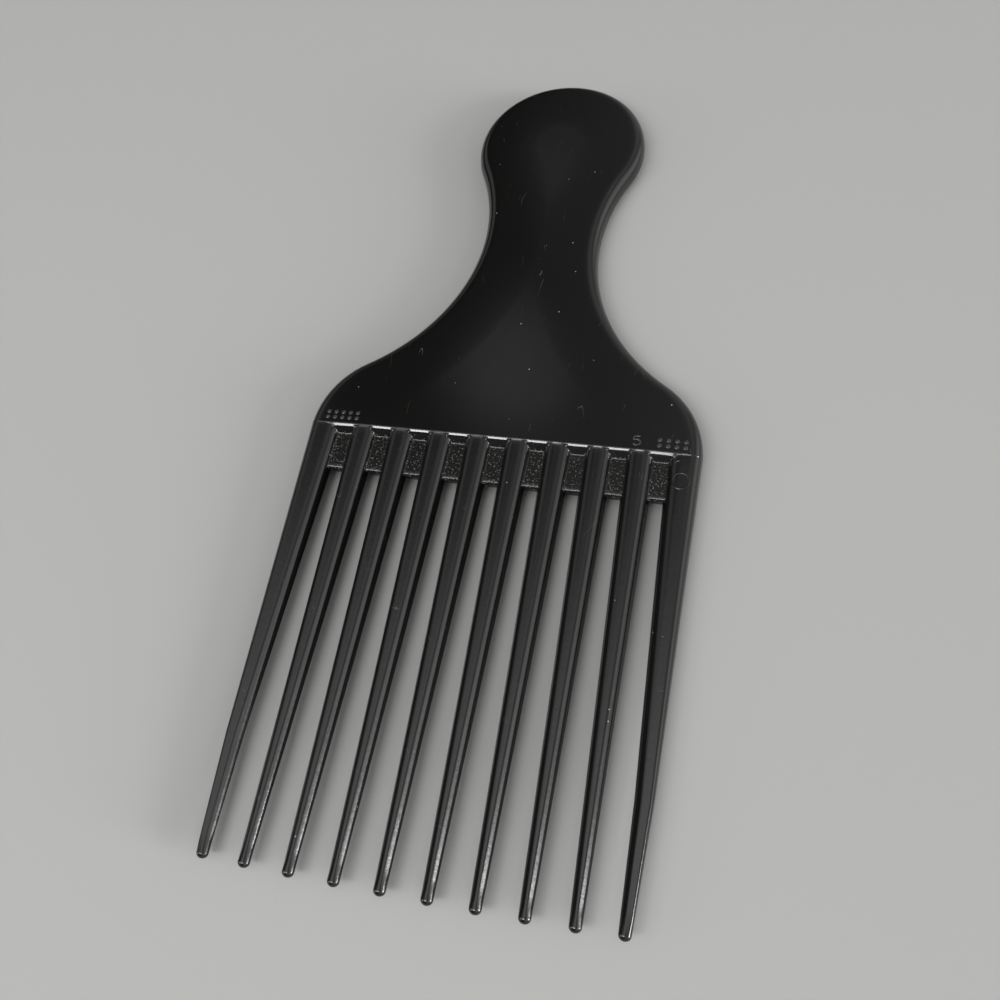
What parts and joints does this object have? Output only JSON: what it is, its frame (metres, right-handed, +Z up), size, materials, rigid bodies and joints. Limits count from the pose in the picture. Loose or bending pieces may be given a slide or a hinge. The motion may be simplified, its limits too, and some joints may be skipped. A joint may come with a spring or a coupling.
{
  "type": "afro pick",
  "caption": "flat one-piece hair pick in black plastic: round knob, waisted neck, flared shoulder and a row of long tapered teeth joined by a recessed web",
  "frame": {"origin": "under the middle of the overall length and width, on the surface it lies on", "axes": "+Y from tooth tips to knob, +X across the teeth, +Z up through the thickness"},
  "size_m": [0.0738, 0.1694, 0.0056],
  "materials": {
    "pick_plastic": "satin-gloss moulded black plastic with fine scuffs and dust"
  },
  "bodies": {
    "root": {"handle": "pick_plastic", "tooth_01": "pick_plastic", "tooth_02": "pick_plastic", "tooth_03": "pick_plastic", "tooth_04": "pick_plastic", "tooth_05": "pick_plastic", "tooth_06": "pick_plastic", "tooth_07": "pick_plastic", "tooth_08": "pick_plastic", "tooth_09": "pick_plastic", "tooth_10": "pick_plastic", "web_01": "pick_plastic", "web_02": "pick_plastic", "web_03": "pick_plastic", "web_04": "pick_plastic", "web_05": "pick_plastic", "web_06": "pick_plastic", "web_07": "pick_plastic", "web_08": "pick_plastic", "web_09": "pick_plastic"}
  },
  "joints": []
}
